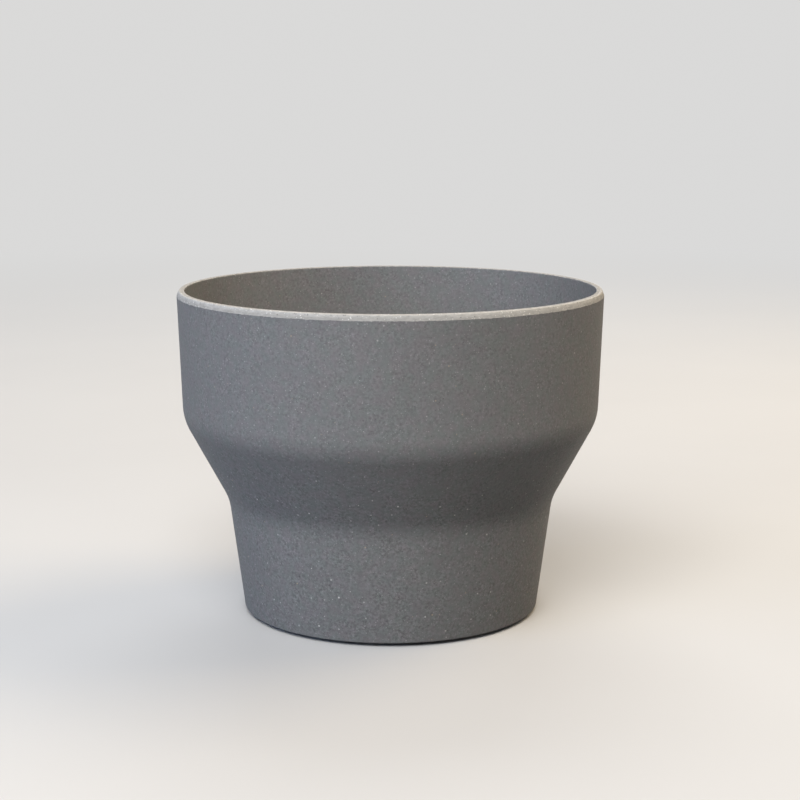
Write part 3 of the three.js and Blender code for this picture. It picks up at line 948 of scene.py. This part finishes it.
def float_ring():
    size = cad("float")
    low, high, radius = size.low.z, size.high.z, size.size.x / 2
    bore, edge = STEM_RADIUS + GAP, 1.2
    corners = [(bore, low, 0.3), (radius, low, edge), (radius, high, edge), (bore, high, 0.3)]
    obj = turned("foam_float", corners, at=FLOAT_PLACE)
    return dress(obj, "float", "gauge", FOAM)


def float_stem():
    size = cad("float_stem")
    low, top = size.low.z, size.high.z
    collar_radius, thick = size.size.x / 2, 1.3  # of the collars below and above the float
    lower = low + thick
    upper = cad("float").high.z + GAP
    corners = [
        (0, low),
        (collar_radius, low, 0.3),
        (collar_radius, lower, 0.3),
        (STEM_RADIUS, lower, 0.3),
        (STEM_RADIUS, upper, 0.2),
        (collar_radius, upper, 0.3),
        (collar_radius, upper + thick, 0.3),
        (STEM_RADIUS, upper + thick, 0.4),
        (STEM_RADIUS, top, 0.3),
        (0, top),
    ]
    obj = turned("stem_rod", corners, BAR_TURN, at=FLOAT_PLACE)
    return dress(obj, "float_stem", "gauge", STEM)


def level_flag():
    size = cad("level_flag")
    low, top, radius = size.low.z, size.high.z, size.size.x / 2
    bore = STEM_RADIUS + GAP
    bore_top = cad("float_stem").high.z + GAP
    corners = [
        (bore, low, 0.2),
        (radius, low, 0.5),
        (radius, top, 2.4),
        (0, top),
        (0, bore_top),
        (bore, bore_top, 0.2),
    ]
    obj = turned("flag_button", corners, at=FLOAT_PLACE)
    return dress(obj, "level_flag", "gauge", FLAG)


soil_tray()
for wick_number in (1, 2, 3):
    wick_sleeve(wick_number)
    wick(wick_number)
filler_shaft()
shaft_foot()
shaft_cap()
fill_flap()
flap_pin()
float_ring()
float_stem()
level_flag()


# ------------------------------------------------------------------ floor, light and camera, in metres

BACKDROP = (0.7, 0.697, 0.692)
TABLE_LIGHT = (0.097, 0.092, 0.087)  # what comes up from below, as off a dark table
SKY_LIGHT = (0.2, 0.2, 0.2)
HAZE = 0.15  # how far above and below level the sky turns into the light from below
FLOOR_COLOUR = (0.64, 0.638, 0.636)
FLOOR_REACH = 20.0
FADE_START, FADE_END = 0.35, 1.5  # from the pot's axis, where the floor turns into the backdrop
LIGHT_DISTANCE = 1.6
LIGHT_WIDTH = 1.0
LIGHTS_AIM = Vector((0, 0, 0.06))


def floor():
    """A pale floor that turns into the backdrop's own colour away from the pot, so no edge shows."""
    mesh = bpy.data.meshes.new("studio_floor")
    ways = ((-1, -1), (1, -1), (1, 1), (-1, 1))
    corners = [(x * FLOOR_REACH, y * FLOOR_REACH, 0) for x, y in ways]
    mesh.from_pydata(corners, [], [(0, 1, 2, 3)])
    obj = bpy.data.objects.new("studio_floor", mesh)
    bpy.context.scene.collection.objects.link(obj)
    p = Paint("pale_floor")
    _, away = p.position()
    glow = p.remap(away, FADE_START, FADE_END, 0, 1, "SMOOTHSTEP")
    tone = p.remap(p.noise(180, 3), 0.3, 0.7, 0.985, 1.015)
    black = (0.0, 0.0, 0.0)
    near = p.mix(glow, p.scaled(FLOOR_COLOUR, tone), black)
    # For diffuse rays the floor is black and glows instead: a painted bounce light, as off a dark
    # table, dimmed close to the foot as a painted contact shadow.
    bounce = p.nodes.new("ShaderNodeLightPath").outputs["Is Diffuse Ray"]
    foot = OUTER_FACE[0][0] * MM
    painted_contact_shadow = p.remap(away, foot, 2 * foot, 0.25, 1, "SMOOTHSTEP")
    underside = p.nodes.new("ShaderNodeNewGeometry").outputs["Backfacing"]
    mesh.materials.append(
        p.finish(
            Base_Color=p.mix(bounce, near, black),
            Roughness=0.8,
            Specular_IOR_Level=0.0,
            Emission_Color=p.mix(bounce, BACKDROP, TABLE_LIGHT),
            Emission_Strength=p.mix(bounce, glow, painted_contact_shadow),
            Alpha=p.calc("SUBTRACT", 1.0, underside),
        )
    )
    obj.visible_shadow = False


def soft_light(name, azimuth, elevation, power, colour):
    """A square soft box, in degrees: azimuth 0 is in front of the pot and 90 to its right."""
    turn, rise = math.radians(azimuth), math.radians(elevation)
    flat = math.cos(rise)
    away = Vector((math.sin(turn) * flat, -math.cos(turn) * flat, math.sin(rise)))
    data = bpy.data.lights.new(name, "AREA")
    data.size = LIGHT_WIDTH
    data.energy = power
    data.color = colour
    obj = bpy.data.objects.new(name, data)
    bpy.context.scene.collection.objects.link(obj)
    obj.location = LIGHTS_AIM + away * LIGHT_DISTANCE
    obj.rotation_euler = (-away).to_track_quat("-Z", "Y").to_euler()


def world():
    """Pale all round for the camera, and a soft sky that fades to dark below for everything else."""
    made = bpy.data.worlds.new("studio")
    bpy.context.scene.world = made
    made.use_nodes = True
    nodes, links = made.node_tree.nodes, made.node_tree.links
    nodes.clear()
    coords = nodes.new("ShaderNodeTexCoord")
    split = nodes.new("ShaderNodeSeparateXYZ")
    links.new(coords.outputs["Generated"], split.inputs[0])
    ramp = nodes.new("ShaderNodeMapRange")
    links.new(split.outputs[2], ramp.inputs[0])
    ramp.inputs[1].default_value = -HAZE
    ramp.inputs[2].default_value = HAZE
    sky = nodes.new("ShaderNodeMix")
    sky.data_type = "RGBA"
    links.new(ramp.outputs[0], sky.inputs[0])
    sky.inputs[6].default_value = (*TABLE_LIGHT, 1)
    sky.inputs[7].default_value = (*SKY_LIGHT, 1)
    seen = nodes.new("ShaderNodeLightPath")
    choose = nodes.new("ShaderNodeMix")
    choose.data_type = "RGBA"
    links.new(seen.outputs["Is Camera Ray"], choose.inputs[0])
    links.new(sky.outputs[2], choose.inputs[6])
    choose.inputs[7].default_value = (*BACKDROP, 1)
    background = nodes.new("ShaderNodeBackground")
    links.new(choose.outputs[2], background.inputs[0])
    output = nodes.new("ShaderNodeOutputWorld")
    links.new(background.outputs[0], output.inputs[0])


def camera():
    """In front of the pot and a little above its rim, aimed just right of it."""
    data = bpy.data.cameras.new("camera")
    data.lens = 80.9
    data.clip_end = 50
    obj = bpy.data.objects.new("camera", data)
    bpy.context.scene.collection.objects.link(obj)
    obj.location = (0, -0.6735, 0.2013)
    obj.rotation_euler = (math.radians(90 - 10.22), 0, math.radians(-0.304))
    bpy.context.scene.camera = obj


floor()
soft_light("key", -15, 45, 22.6, (1.0, 0.984, 0.96))
soft_light("window", -65, 12, 9.6, (0.445, 0.635, 1.0))
soft_light("lamp", 110, 45, 12.6, (1.0, 0.78, 0.5))
soft_light("back", 180, 45, 11, (0.97, 0.985, 1.0))
world()
camera()
bpy.context.scene.view_settings.view_transform = "Standard"
